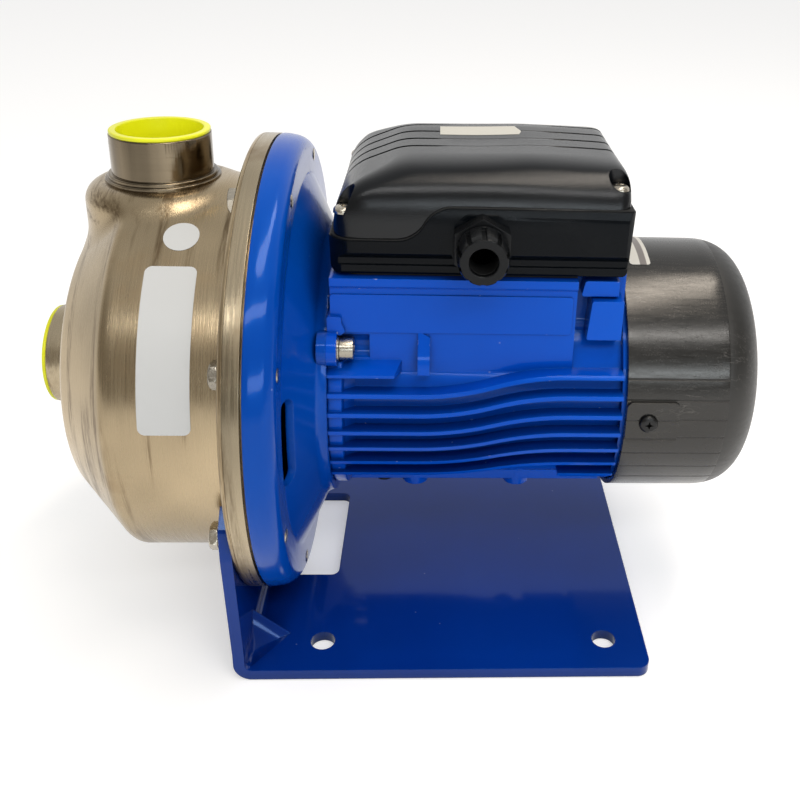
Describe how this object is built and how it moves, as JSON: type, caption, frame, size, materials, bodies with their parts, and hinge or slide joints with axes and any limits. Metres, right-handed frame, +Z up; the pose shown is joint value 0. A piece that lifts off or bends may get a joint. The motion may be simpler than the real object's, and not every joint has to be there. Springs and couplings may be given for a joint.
{
  "type": "centrifugal pump",
  "caption": "Close-coupled centrifugal pump with a pressed stainless casing, finned electric motor with terminal box, and a folded foot bracket.",
  "frame": {"origin": "centre of the four base holes, on the underside of the foot bracket", "axes": "+X along the shaft from the suction port to the fan cover, -Y towards the cable gland, +Z up"},
  "size_m": [0.3242, 0.212, 0.2263],
  "materials": {
    "stainless_shell": "pressed and brushed stainless steel",
    "stainless_turned": "turned stainless steel",
    "stainless_small": "zinc-bright steel fasteners",
    "yellow_plastic": "bright yellow soft plastic",
    "blue_cast": "gloss blue enamel on cast aluminium",
    "blue_sheet": "gloss blue enamel on folded steel",
    "black_plastic": "textured black moulding",
    "cover_plastic": "smooth dark moulding",
    "rubber": "moulded rubber",
    "carbon": "carbon and steel seal unit",
    "ceramic": "ceramic seat",
    "steel_shaft": "ground steel",
    "lamination": "varnished steel laminations",
    "copper_winding": "varnished copper wire",
    "cage_aluminium": "cast aluminium",
    "bearing_steel": "polished bearing steel",
    "spring_steel": "spring steel",
    "block_plastic": "light thermoset moulding",
    "capacitor_plastic": "grey-white plastic can"
  },
  "bodies": {
    "pump_unit": {"pump_casing": "stainless_shell", "casing_ring": "stainless_turned", "casing_o_ring": "rubber", "suction_socket": "stainless_turned", "discharge_socket": "stainless_turned", "wear_ring": "stainless_turned", "seal_stationary_seat": "ceramic", "seal_plate": "stainless_shell", "casing_screws": "stainless_small", "bracket_screws": "stainless_small", "motor_adapter": "blue_cast", "foot_bracket": "blue_sheet", "motor_screws": "stainless_small", "motor_screw_washers": "stainless_small", "front_end_shield": "blue_cast", "motor_frame": "blue_cast", "drain_plug": "black_plastic", "stator_core": "lamination", "stator_winding": "copper_winding", "front_bearing_outer_ring": "bearing_steel", "rear_bearing_outer_ring": "bearing_steel", "bearing_preload_washer": "spring_steel", "rear_end_shield": "cage_aluminium", "rear_shield_screws": "stainless_small", "fan_cover": "cover_plastic", "fan_cover_screws": "stainless_small", "terminal_box_seat_gasket": "rubber", "terminal_box_base": "black_plastic", "terminal_box_fixing_screws": "stainless_small", "terminal_box_lid_gasket": "rubber", "terminal_block": "block_plastic", "capacitor": "capacitor_plastic", "cable_gland_body": "black_plastic", "cable_gland_locknut": "black_plastic", "cable_gland_seal": "rubber", "cable_gland_nut": "black_plastic"},
    "rotor": {"shaft": "steel_shaft", "impeller": "stainless_turned", "impeller_key": "steel_shaft", "impeller_washer": "stainless_small", "impeller_nut": "stainless_small", "seal_rotating_head": "carbon", "seal_spring": "spring_steel", "rotor_core": "lamination", "rotor_cage": "cage_aluminium", "shaft_slinger": "rubber", "front_bearing_inner_ring": "bearing_steel", "rear_bearing_inner_ring": "bearing_steel", "cooling_fan": "black_plastic", "fan_circlip": "spring_steel"},
    "suction_plug_body": {"suction_plug": "yellow_plastic"},
    "discharge_plug_body": {"discharge_plug": "yellow_plastic"},
    "terminal_lid": {"terminal_box_lid": "black_plastic", "terminal_box_lid_screws": "stainless_small"}
  },
  "joints": [
    {"name": "rotor_spin", "type": "hinge", "parent": "pump_unit", "child": "rotor", "pos_m": [0, 0, 0.116], "axis": [1, 0, 0], "continuous": true},
    {"name": "suction_plug_pull", "type": "slide", "parent": "pump_unit", "child": "suction_plug_body", "axis": [-1, 0, 0], "range_m": [0, 0.03]},
    {"name": "discharge_plug_pull", "type": "slide", "parent": "pump_unit", "child": "discharge_plug_body", "axis": [0, 0, 1], "range_m": [0, 0.03]},
    {"name": "terminal_lid_lift", "type": "slide", "parent": "pump_unit", "child": "terminal_lid", "axis": [0, 0, 1], "range_m": [0, 0.06]}
  ]
}
